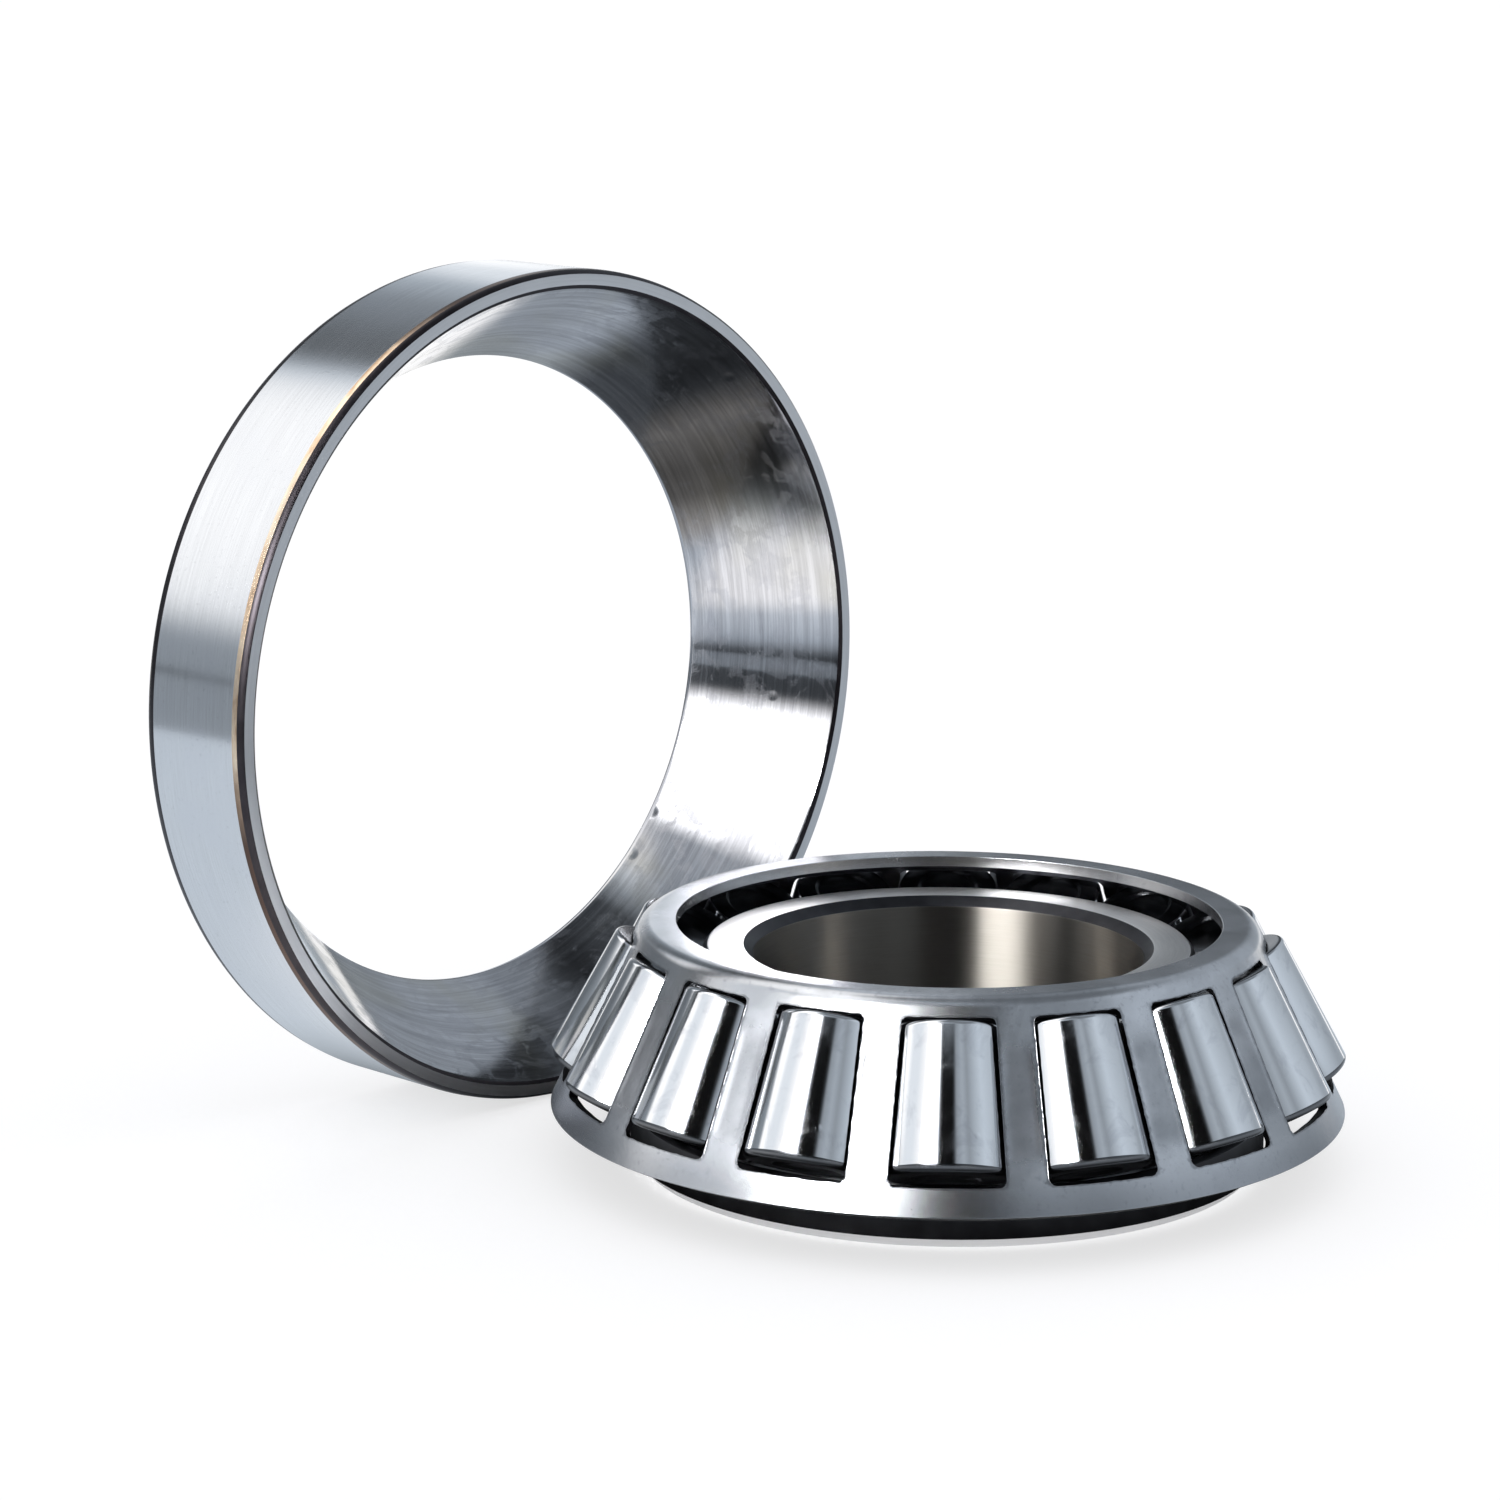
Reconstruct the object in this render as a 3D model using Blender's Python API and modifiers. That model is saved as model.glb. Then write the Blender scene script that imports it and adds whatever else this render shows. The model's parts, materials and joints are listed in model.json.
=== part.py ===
"""Tapered roller bearing with a steep contact angle, shown in its two separable halves.

The cone assembly (cone, cage and rollers) lies on its back face and its axis is vertical.
The cup stands upright on its outside diameter beside it, with its wide mouth towards the cone.

Units are metres and +Z is up. The origin is on the ground, under the middle of the whole layout.
In a turned section, a point is (radius, height) and the radius is measured from the piece's axis.
"""

import math

import bpy
from mathutils import Matrix, Vector

MM = 0.001

# Boundary dimensions of the bearing
BORE_DIAMETER = 45.0 * MM
OUTSIDE_DIAMETER = 100.0 * MM
CONE_WIDTH = 25.0 * MM
CUP_WIDTH = 18.0 * MM
ASSEMBLED_WIDTH = 27.25 * MM

# Rollers and raceways
CUP_HALF_ANGLE = math.radians(28.81)
CUP_SMALL_MOUTH_DIAMETER = 75.5 * MM
ROLLER_COUNT = 16
ROLLER_DIAMETER = 14.4 * MM
ROLLER_LENGTH = 16.5 * MM
ROLLER_TIP_RADIUS = 46.2 * MM
ROLLER_EDGE = 0.6 * MM
DIMPLE_RADIUS = 2.6 * MM
DIMPLE_DEPTH = 0.3 * MM
FIRST_ROLLER_ANGLE = math.radians(-2.4)

# Ribs and edges of the rings
SMALL_RIB_RADIUS = 28.3 * MM
LARGE_RIB_RADIUS = 36.7 * MM
SMALL_RIB_CHAMFER = 0.5 * MM
LARGE_RIB_CHAMFER = 1.2 * MM
LARGE_RIB_SHOULDER = 0.5 * MM
BORE_CHAMFER = 1.1 * MM
CUP_FRONT_CHAMFER = 0.9 * MM
CUP_BACK_CHAMFER = 1.9 * MM
CUP_BACK_EDGE = 0.6 * MM

# Cage, a pressed sheet cone with a window for each roller and an in-turned flange on top
CAGE_SHEET = 1.3 * MM
CAGE_HALF_ANGLE = math.radians(26.3)
CAGE_FOOT_RADIUS = 45.9 * MM
CAGE_FOOT_HEIGHT = 6.5 * MM
CAGE_TOP_HEIGHT = 28.0 * MM
CAGE_FLANGE_RADIUS = 31.4 * MM
CAGE_SHOULDER_RADIUS = 2.3 * MM
WINDOW_START = 3.2 * MM
WINDOW_LENGTH = 18.5 * MM
WINDOW_FOOT_WIDTH = 12.8 * MM
WINDOW_TOP_WIDTH = 10.3 * MM
WINDOW_FLARE = 0.3
WINDOW_CORNER = 0.8 * MM

# Clearances
RACEWAY_GAP = 0.2 * MM
ROLLER_END_GAP = 0.3 * MM

# Layout
CONE_AXIS_X = 22.6 * MM
CONE_AXIS_Y = -12.55 * MM
CUP_OFFSET_X = -44.85 * MM
CUP_OFFSET_Y = 24.25 * MM
CUP_YAW = math.radians(45.7)

# Fineness
RING_STEPS = 80
ROLLER_STEPS = 24
ARC_STEP = math.radians(30.0)

# Cone that the rollers, the raceways and the ribs share
APEX_HEIGHT = ASSEMBLED_WIDTH + CUP_SMALL_MOUTH_DIAMETER / 2 / math.tan(CUP_HALF_ANGLE)
ROLLER_LARGE_RADIUS = ROLLER_DIAMETER / 2
ROLLER_HALF_ANGLE = math.asin(ROLLER_LARGE_RADIUS * math.sin(CUP_HALF_ANGLE) / ROLLER_TIP_RADIUS)
ROLLER_TILT = CUP_HALF_ANGLE - ROLLER_HALF_ANGLE
LARGE_END = ROLLER_LARGE_RADIUS / math.tan(ROLLER_HALF_ANGLE)
SMALL_END = LARGE_END - ROLLER_LENGTH

CONE_PLACE = Vector((CONE_AXIS_X, CONE_AXIS_Y, 0.0))
CUP_AXIS = Vector((math.sin(CUP_YAW), -math.cos(CUP_YAW), 0.0))
CUP_FRONT_CENTRE = CONE_PLACE + Vector((CUP_OFFSET_X, CUP_OFFSET_Y, OUTSIDE_DIAMETER / 2))
CUP_SEAT_CENTRE = CONE_PLACE + Vector((0.0, 0.0, ASSEMBLED_WIDTH - CUP_WIDTH))
DOWN = Vector((0.0, 0.0, -1.0))

# Colour, roughness and metallic value of each finish
GROUND_STEEL = (0.60, 0.62, 0.66), 0.28, 1.0
HONED_STEEL = (0.55, 0.56, 0.58), 0.24, 1.0
PRESSED_STEEL = (0.46, 0.48, 0.51), 0.38, 1.0
POLISHED_STEEL = (0.74, 0.75, 0.77), 0.12, 1.0


def clear_scene():
    for item in list(bpy.data.objects):
        bpy.data.objects.remove(item, do_unlink=True)


def new_collection(name):
    collection = bpy.data.collections.new(name)
    bpy.context.scene.collection.children.link(collection)
    return collection


def new_material(name, finish):
    colour, roughness, metallic = finish
    material = bpy.data.materials.new(name)
    material.use_nodes = True
    shader = material.node_tree.nodes["Principled BSDF"]
    shader.inputs["Base Color"].default_value = (*colour, 1.0)
    shader.inputs["Roughness"].default_value = roughness
    shader.inputs["Metallic"].default_value = metallic
    material.diffuse_color = (*colour, 1.0)
    return material


def new_empty(name, place, collection):
    empty = bpy.data.objects.new(name, None)
    empty.empty_display_size = 10.0 * MM
    empty.location = place
    collection.objects.link(empty)
    return empty


def roller_point(distance, outward):
    """Section point at this distance from the apex along a roller's axis, and this far outward from it."""
    radius = distance * math.sin(ROLLER_TILT) + outward * math.cos(ROLLER_TILT)
    height = APEX_HEIGHT - distance * math.cos(ROLLER_TILT) + outward * math.sin(ROLLER_TILT)
    return radius, height


def roller_point_at_radius(distance, radius):
    """Section point where the plane square to the roller's axis at this distance reaches this radius."""
    outward = (radius - distance * math.sin(ROLLER_TILT)) / math.cos(ROLLER_TILT)
    return roller_point(distance, outward)


def cone_raceway_point(distance):
    depth = distance * math.tan(ROLLER_HALF_ANGLE) + RACEWAY_GAP
    return roller_point(distance, -depth)


def cup_raceway_radius(height):
    """Radius of the cup's raceway at this height, with the cup seated over the rollers."""
    gap = RACEWAY_GAP / math.cos(CUP_HALF_ANGLE)
    return (APEX_HEIGHT - height) * math.tan(CUP_HALF_ANGLE) + gap


def rounded(corners):
    """Closed outline from (radius, height, rounding) corners, each rounding drawn as an arc."""
    outline = []
    for index, (radius, height, rounding) in enumerate(corners):
        corner = Vector((radius, height))
        if rounding == 0.0:
            outline.append(tuple(corner))
            continue
        before = Vector(corners[index - 1][:2]) - corner
        after = Vector(corners[(index + 1) % len(corners)][:2]) - corner
        before.normalize()
        after.normalize()
        half = before.angle(after) / 2
        reach = rounding / math.tan(half)
        centre = corner + (before + after).normalized() * rounding / math.sin(half)
        start = corner + before * reach - centre
        turn = start.angle_signed(corner + after * reach - centre)
        steps = max(1, math.ceil(abs(turn) / ARC_STEP))
        for step in range(steps + 1):
            spoke = start.copy()
            spoke.rotate(Matrix.Rotation(-turn * step / steps, 2))
            outline.append(tuple(centre + spoke))
    return outline


def cup_section():
    """Cup with its front face at height 0 and its back face above it."""
    outside = OUTSIDE_DIAMETER / 2
    seat = ASSEMBLED_WIDTH - CUP_WIDTH
    return [
        (outside - CUP_BACK_CHAMFER, CUP_WIDTH, 0.0),
        (outside, CUP_WIDTH - CUP_BACK_CHAMFER, 0.0),
        (outside, CUP_FRONT_CHAMFER, 0.0),
        (outside - CUP_FRONT_CHAMFER, 0.0, 0.0),
        (cup_raceway_radius(seat), 0.0, 0.0),
        (cup_raceway_radius(ASSEMBLED_WIDTH), CUP_WIDTH, CUP_BACK_EDGE),
    ]


def cone_section():
    bore = BORE_DIAMETER / 2
    small_face = SMALL_END - ROLLER_END_GAP
    large_face = LARGE_END + ROLLER_END_GAP
    shoulder_radius = LARGE_RIB_RADIUS - LARGE_RIB_SHOULDER
    shoulder = roller_point_at_radius(large_face, shoulder_radius)
    return [
        (SMALL_RIB_RADIUS - SMALL_RIB_CHAMFER, CONE_WIDTH, 0.0),
        (SMALL_RIB_RADIUS, CONE_WIDTH - SMALL_RIB_CHAMFER, 0.0),
        (*roller_point_at_radius(small_face, SMALL_RIB_RADIUS), 0.0),
        (*cone_raceway_point(small_face), 0.0),
        (*cone_raceway_point(large_face), 0.0),
        (*shoulder, 0.0),
        (LARGE_RIB_RADIUS, shoulder[1] - LARGE_RIB_SHOULDER, 0.0),
        (LARGE_RIB_RADIUS, LARGE_RIB_CHAMFER, 0.0),
        (LARGE_RIB_RADIUS - LARGE_RIB_CHAMFER, 0.0, 0.0),
        (bore + BORE_CHAMFER, 0.0, 0.0),
        (bore, BORE_CHAMFER, 0.0),
        (bore, CONE_WIDTH - BORE_CHAMFER, 0.0),
        (bore + BORE_CHAMFER, CONE_WIDTH, 0.0),
    ]


def cage_section():
    """Sheet cone and flange: down the outside, across the foot, and up the inside."""
    slope = math.tan(CAGE_HALF_ANGLE)
    shoulder = CAGE_FOOT_RADIUS - (CAGE_TOP_HEIGHT - CAGE_FOOT_HEIGHT) * slope
    inner_foot_radius = CAGE_FOOT_RADIUS - CAGE_SHEET * math.cos(CAGE_HALF_ANGLE)
    inner_foot_height = CAGE_FOOT_HEIGHT - CAGE_SHEET * math.sin(CAGE_HALF_ANGLE)
    flange_height = CAGE_TOP_HEIGHT - CAGE_SHEET
    inner_shoulder = inner_foot_radius - (flange_height - inner_foot_height) * slope
    return [
        (CAGE_FLANGE_RADIUS, CAGE_TOP_HEIGHT, 0.0),
        (shoulder, CAGE_TOP_HEIGHT, CAGE_SHOULDER_RADIUS),
        (CAGE_FOOT_RADIUS, CAGE_FOOT_HEIGHT, 0.0),
        (inner_foot_radius, inner_foot_height, 0.0),
        (inner_shoulder, flange_height, CAGE_SHOULDER_RADIUS - CAGE_SHEET),
        (CAGE_FLANGE_RADIUS, flange_height, 0.0),
    ]


def roller_profile():
    """Half section of a roller from its small end down to its large end, with a dimple in each end."""
    small_radius = SMALL_END * math.tan(ROLLER_HALF_ANGLE)
    flare = ROLLER_EDGE * math.tan(ROLLER_HALF_ANGLE)
    return [
        (0.0, ROLLER_LENGTH - DIMPLE_DEPTH),
        (DIMPLE_RADIUS - DIMPLE_DEPTH, ROLLER_LENGTH - DIMPLE_DEPTH),
        (DIMPLE_RADIUS, ROLLER_LENGTH),
        (small_radius - ROLLER_EDGE, ROLLER_LENGTH),
        (small_radius + flare, ROLLER_LENGTH - ROLLER_EDGE),
        (ROLLER_LARGE_RADIUS - flare, ROLLER_EDGE),
        (ROLLER_LARGE_RADIUS - ROLLER_EDGE, 0.0),
        (DIMPLE_RADIUS, 0.0),
        (DIMPLE_RADIUS - DIMPLE_DEPTH, DIMPLE_DEPTH),
        (0.0, DIMPLE_DEPTH),
    ]


def profile_mesh(name, points, closed):
    mesh = bpy.data.meshes.new(name)
    edges = [(index, index + 1) for index in range(len(points) - 1)]
    if closed:
        edges.append((len(points) - 1, 0))
    mesh.from_pydata([(radius, 0.0, height) for radius, height in points], edges, [])
    return mesh


def turned(name, mesh, steps, material, collection):
    """Object that spins a profile mesh once about its own Z axis."""
    piece = bpy.data.objects.new(name, mesh)
    collection.objects.link(piece)
    if not mesh.materials:
        mesh.materials.append(material)
    screw = piece.modifiers.new("turn", "SCREW")
    screw.axis = "Z"
    screw.angle = 2 * math.pi
    screw.steps = steps
    screw.render_steps = steps
    screw.use_merge_vertices = True
    screw.merge_threshold = 0.00001
    screw.use_smooth_shade = True
    return piece


def seat_turn():
    """Unit axis and angle of the one turn that tips the standing cup over onto the rollers."""
    move = CUP_SEAT_CENTRE - CUP_FRONT_CENTRE
    axis = (CUP_AXIS - DOWN).cross(move).normalized()
    along = CUP_AXIS.dot(axis)
    angle = math.acos((CUP_AXIS.dot(DOWN) - along**2) / (1 - along**2))
    return axis, angle


def hinge_point():
    """Point on the tipping axis, halfway between the cup's two places and square to its path."""
    axis, angle = seat_turn()
    move = CUP_SEAT_CENTRE - CUP_FRONT_CENTRE
    middle = (CUP_SEAT_CENTRE + CUP_FRONT_CENTRE) / 2
    return middle + axis.cross(move) / (2 * math.tan(angle / 2))


def build_cup(collection):
    axis, _ = seat_turn()
    hinge = new_empty("cup_tip_axis", hinge_point(), collection)
    hinge.rotation_euler = axis.to_track_quat("Z", "Y").to_euler()
    mesh = profile_mesh("cup", rounded(cup_section()), closed=True)
    cup = turned("cup", mesh, RING_STEPS, new_material("cup_steel", GROUND_STEEL), collection)
    cup.parent = hinge
    bpy.context.view_layer.update()
    turn = (-CUP_AXIS).to_track_quat("Z", "Y").to_matrix().to_4x4()
    cup.matrix_world = Matrix.Translation(CUP_FRONT_CENTRE) @ turn
    return cup


def build_cone(assembly, collection):
    mesh = profile_mesh("cone", rounded(cone_section()), closed=True)
    cone = turned("cone", mesh, RING_STEPS, new_material("cone_steel", HONED_STEEL), collection)
    cone.parent = assembly
    return cone


def window_mesh():
    """Wedge that cuts one window: X across it, Y down the sheet, Z out of it, with the origin at its top."""
    bpy.ops.mesh.primitive_cube_add(size=1.0)
    block = bpy.context.object
    mesh = block.data
    bpy.data.objects.remove(block, do_unlink=True)
    above = CAGE_SHEET
    below = 2.5 * CAGE_SHEET
    for vertex in mesh.vertices:
        side, along, out = vertex.co * 2
        down = (along + 1) / 2
        height = above if out > 0 else -below
        width = WINDOW_TOP_WIDTH + (WINDOW_FOOT_WIDTH - WINDOW_TOP_WIDTH) * down
        half_width = width / 2 - height * WINDOW_FLARE
        vertex.co = (side * half_width, down * WINDOW_LENGTH, height)
    return mesh


def window_edges_to_round(mesh):
    """Marks the four edges that run through the sheet, so that Bevel rounds only those."""
    attribute = mesh.attributes.new("bevel_weight_edge", "FLOAT", "EDGE")
    for edge in mesh.edges:
        first, second = (mesh.vertices[index].co.z for index in edge.vertices)
        attribute.data[edge.index].value = 1.0 if first * second < 0 else 0.0


def build_cage(assembly, collection, cutters):
    mesh = profile_mesh("cage", rounded(cage_section()), closed=True)
    cage = turned("cage", mesh, RING_STEPS, new_material("cage_steel", PRESSED_STEEL), collection)
    cage.parent = assembly
    top_distance = WINDOW_START + WINDOW_LENGTH
    top_radius = CAGE_FOOT_RADIUS - top_distance * math.sin(CAGE_HALF_ANGLE)
    top_height = CAGE_FOOT_HEIGHT + top_distance * math.cos(CAGE_HALF_ANGLE)
    lean = Matrix.Rotation(math.radians(90.0) - CAGE_HALF_ANGLE, 4, "X")
    cut_mesh = window_mesh()
    window_edges_to_round(cut_mesh)
    for index in range(ROLLER_COUNT):
        cutter = bpy.data.objects.new(f"window_{index + 1:02d}", cut_mesh)
        cutters.objects.link(cutter)
        cutter.hide_render = True
        cutter.display_type = "WIRE"
        bevel = cutter.modifiers.new("corners", "BEVEL")
        bevel.limit_method = "WEIGHT"
        bevel.width = WINDOW_CORNER
        bevel.segments = 2
        spin = Matrix.Rotation(roller_angle(index), 4, "Z")
        place = Matrix.Translation((0.0, -top_radius, top_height))
        flip = Matrix.Rotation(math.pi, 4, "Z")
        cutter.parent = assembly
        cutter.matrix_local = spin @ place @ lean @ flip
        cut = cage.modifiers.new(f"cut_{index + 1:02d}", "BOOLEAN")
        cut.operation = "DIFFERENCE"
        cut.solver = "EXACT"
        cut.object = cutter
    return cage


def roller_angle(index):
    """Angle of a roller about the bearing axis, counted anticlockwise from above, from -Y."""
    return FIRST_ROLLER_ANGLE + 2 * math.pi * index / ROLLER_COUNT


def build_rollers(assembly, collection):
    mesh = profile_mesh("roller", roller_profile(), closed=False)
    material = new_material("roller_steel", POLISHED_STEEL)
    radius, height = roller_point(LARGE_END, 0.0)
    for index in range(ROLLER_COUNT):
        name = f"roller_{index + 1:02d}"
        roller = turned(name, mesh, ROLLER_STEPS, material, collection)
        roller.parent = assembly
        spin = Matrix.Rotation(roller_angle(index), 4, "Z")
        place = Matrix.Translation((0.0, -radius, height))
        lean = Matrix.Rotation(-ROLLER_TILT, 4, "X")
        roller.matrix_local = spin @ place @ lean


def main():
    clear_scene()
    bearing = new_collection("tapered_roller_bearing")
    cutters = new_collection("cutters")
    assembly = new_empty("cone_axis", CONE_PLACE, bearing)
    build_cup(bearing)
    build_cone(assembly, bearing)
    build_cage(assembly, bearing, cutters)
    build_rollers(assembly, bearing)


main()
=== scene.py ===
import json
import math

import bpy
import numpy as np
from mathutils import Matrix, Vector

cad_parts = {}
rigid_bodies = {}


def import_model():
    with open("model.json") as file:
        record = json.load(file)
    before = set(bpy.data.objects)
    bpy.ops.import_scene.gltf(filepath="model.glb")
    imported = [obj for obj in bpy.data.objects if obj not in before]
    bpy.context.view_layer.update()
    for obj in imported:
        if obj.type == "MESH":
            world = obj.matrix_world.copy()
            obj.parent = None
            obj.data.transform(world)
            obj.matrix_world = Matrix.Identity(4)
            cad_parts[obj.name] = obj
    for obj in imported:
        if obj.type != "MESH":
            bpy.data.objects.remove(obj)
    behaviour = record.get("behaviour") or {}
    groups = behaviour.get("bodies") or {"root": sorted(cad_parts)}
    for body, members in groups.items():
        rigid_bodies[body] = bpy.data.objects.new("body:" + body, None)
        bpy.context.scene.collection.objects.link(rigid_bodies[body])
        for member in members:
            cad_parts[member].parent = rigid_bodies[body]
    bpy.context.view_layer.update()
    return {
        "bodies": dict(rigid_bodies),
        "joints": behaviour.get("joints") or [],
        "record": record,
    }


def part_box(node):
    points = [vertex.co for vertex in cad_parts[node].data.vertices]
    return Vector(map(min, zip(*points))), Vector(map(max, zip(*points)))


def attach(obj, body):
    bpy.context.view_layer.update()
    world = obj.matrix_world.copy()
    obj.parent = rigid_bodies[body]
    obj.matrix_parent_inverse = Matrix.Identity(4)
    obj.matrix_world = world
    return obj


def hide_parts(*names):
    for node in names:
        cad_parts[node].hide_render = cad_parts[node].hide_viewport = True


MM = 0.001

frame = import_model()


# ---------------------------------------------------------------------------------------------
# Places and sizes that come from the frame
# ---------------------------------------------------------------------------------------------

JOINTS = {joint["name"]: joint for joint in frame["joints"]}
MOUNTS = {mount["name"]: mount for mount in frame["record"]["mounts"]}
ROLLERS = sorted(body for body in frame["bodies"] if body.startswith("roller_"))

CONE_LOW, CONE_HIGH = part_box("cone")
CAGE_LOW, CAGE_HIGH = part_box("cage")
CUP_LOW, CUP_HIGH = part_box("cup")

# Point on the floor under the cone's axis
AXIS = Vector(JOINTS["cone_spin"]["pos_m"])
AXIS.z = 0.0
CUP_AXIS = Vector(MOUNTS["cup_front_face"]["axis"]).normalized()
CUP_RADIUS = (CUP_HIGH.z - CUP_LOW.z) / 2
CUP_FRONT = Vector(MOUNTS["cup_front_face"]["pos_m"])
CUP_BACK = Vector(MOUNTS["cup_back_face"]["pos_m"])
CUP_WIDTH = (CUP_FRONT - CUP_BACK).dot(CUP_AXIS)
CUP_PLACE = Vector((CUP_FRONT.x, CUP_FRONT.y, CUP_LOW.z + CUP_RADIUS))
CONE_WIDTH = CONE_HIGH.z - CONE_LOW.z
RIB_RADIUS = (CONE_HIGH.x - CONE_LOW.x) / 2
CAGE_FOOT_RADIUS = (CAGE_HIGH.x - CAGE_LOW.x) / 2

# Cone that the rollers and raceways share, from the first roller's axis. Distances of both roller
# ends are measured from its apex along that axis.
FIRST = JOINTS[f"{ROLLERS[0]}_spin"]
ROLLER_PLACE = Vector(FIRST["pos_m"]) - AXIS
ROLLER_TILT = math.acos(Vector(FIRST["axis"]).normalized().z)
ROLLER_START = math.atan2(ROLLER_PLACE.x, -ROLLER_PLACE.y)
LARGE_END = ROLLER_PLACE.xy.length / math.sin(ROLLER_TILT)
APEX_HEIGHT = ROLLER_PLACE.z + LARGE_END * math.cos(ROLLER_TILT)

# ---------------------------------------------------------------------------------------------
# Fine sizes of the surfaces
# ---------------------------------------------------------------------------------------------

RACEWAY_GAP = 0.2 * MM
CUP_HALF_ANGLE = math.radians(28.81)
ROLLER_HALF_ANGLE = CUP_HALF_ANGLE - ROLLER_TILT
ROLLER_RADIUS = LARGE_END * math.tan(ROLLER_HALF_ANGLE)
ROLLER_LENGTH = 16.5 * MM
SMALL_END = LARGE_END - ROLLER_LENGTH

BORE_RADIUS = 22.5 * MM
SMALL_RIB_RADIUS = 28.3 * MM
ASSEMBLED_WIDTH = 27.25 * MM
CUP_SEAT_HEIGHT = ASSEMBLED_WIDTH - CUP_WIDTH

CAGE_SHEET = 1.3 * MM
CAGE_HALF_ANGLE = math.radians(26.3)
CAGE_RIM_RADIUS = 31.4 * MM
CAGE_SHOULDER = 1.9 * MM
WINDOW_START = 3.2 * MM
WINDOW_LENGTH = 18.5 * MM
WINDOW_END = WINDOW_START + WINDOW_LENGTH
WINDOW_FOOT_WIDTH = 12.8 * MM
WINDOW_TOP_WIDTH = 10.3 * MM
WINDOW_CORNER = 0.8 * MM
# Each window side widens by this share of the depth, to clear the roller
WINDOW_FLARE = 0.62
# Distance from a window's ends to the rows of faces below and above it
WINDOW_MARGIN = 1.1 * MM
# Coined hollow of each bar: its ends up the sheet, how far they fade, and its fade from the sides
COIN_DEPTH = 0.1 * MM
COIN_START = WINDOW_START + 0.1 * WINDOW_LENGTH
COIN_END = WINDOW_START + 0.88 * WINDOW_LENGTH
COIN_SOFT = 2.6 * MM
COIN_SIDE = (0.1 * MM, 1.1 * MM)
# Height of an oil drop, as a multiple of the grinding lines' height
DROP_BUMP = 60.0

RING_STEPS = 360
ROLLER_STEPS = 128
CORNER_STEPS = 6
WINDOW_STEPS_UP = 26
WINDOW_STEPS_ACROSS = 12
FRAME_STEPS_UP = WINDOW_STEPS_UP + CORNER_STEPS
FRAME_STEPS_ACROSS = WINDOW_STEPS_ACROSS + CORNER_STEPS
# Rings of points between a window and its frame, as shares of the way
FRAME_SHARES = (0.0, 0.06, 0.16, 0.28, 0.42, 0.6, 0.8, 1.0)
# The windows' dark borders end at one part in this many of the way to the frame
BORDER_NARROWING = 3.0
OUTER_SLOT = 0
INNER_SLOT = 1

# Camera, at the angle and distance of a close product picture
CAMERA_LENS = 107.1
CAMERA_SENSOR = 36.0
CAMERA_DISTANCE = 518.0 * MM
CAMERA_ELEVATION = math.radians(11.73)
CAMERA_ROLL = math.radians(0.2)
CAMERA_SIDE = 22.8 * MM
CAMERA_DROP = 40.3 * MM
CAMERA_HEIGHT = 6.6 * MM

# ---------------------------------------------------------------------------------------------
# Shades of the studio, as the screen shows them on polished steel
# ---------------------------------------------------------------------------------------------

# (degrees round the horizon, shade): 0 faces the viewer, 90 is on the right
LOW_SHADES = [
    (-180, 0.85), (-176, 1.0), (-168, 0.9), (-150, 0.42), (-140, 0.38), (-118, 0.48),
    (-95, 0.56), (-60, 0.45), (-31, 0.28), (-15, 0.0), (12, 0.0), (40, 0.4), (90, 0.52),
    (150, 0.62), (167, 0.55), (173, 0.2), (178, 0.2), (180, 0.85),
]
MIDDLE_SHADES = [
    (-180, 0.8), (-174, 0.85), (-171, 0.66), (-165, 0.52), (-152, 0.38), (-145, 0.35),
    (-141, 0.52), (-138, 0.78), (-133, 0.93), (-126, 0.99), (-98, 1.0), (-89, 0.86),
    (-74, 0.86), (-60, 0.95), (-48, 1.1), (-42, 1.5), (-26, 1.5), (-22, 0.5), (-18, 0.0),
    (9, 0.0), (13, 0.2), (18, 0.54), (32, 0.62), (44, 0.54), (58, 0.65), (74, 0.74),
    (95, 0.69), (125, 0.63), (158, 0.6), (172, 0.4), (177, 0.4), (180, 0.8),
]
HIGH_SHADES = [
    (-180, 0.5), (-172, 0.75), (-160, 0.95), (-130, 1.1), (-60, 1.1), (-42, 0.9), (-20, 0.6),
    (45, 0.44), (120, 0.44), (150, 0.54), (180, 0.45),
]
TOP_SHADE = 0.4

# Degrees of elevation over which one set of shades gives way to the next
LOW_TO_MIDDLE = (5.0, 14.0)
MIDDLE_TO_HIGH = (46.0, 53.0)
HIGH_TO_TOP = (68.0, 80.0)

# On the left, the low shades reach this many degrees higher
LEFT_AZIMUTHS = (-160.0, -140.0, -112.0, -97.0)
LEFT_RISE = 9.0

# Lamp on the viewer's left: where it starts, is full, fades and ends
LAMP_AZIMUTHS = (-57.0, -42.0, -25.0, -20.0)
LAMP_ELEVATIONS = (18.0, 22.0, 26.0, 32.0)
LAMP_SHADE = 5.2

# Painted light and shade of the floor's mirror image
# (place on the floor's ramp, shade), from the viewer's side to the far side
FLOOR_SHADES = [
    (0.0, 0.1), (0.25, 0.22), (0.37, 0.42), (0.49, 0.7), (0.575, 0.8), (0.63, 0.84),
    (0.69, 0.78), (0.76, 0.72), (0.82, 0.6), (0.88, 0.58), (0.95, 0.95),
]
# Metres from the start of the floor's ramp to the middle of the frame
FLOOR_RAMP_START = 0.7
FLOOR_LEFT_EDGE = (-0.33, -0.315)
FLOOR_SIZE = 60.0
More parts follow.
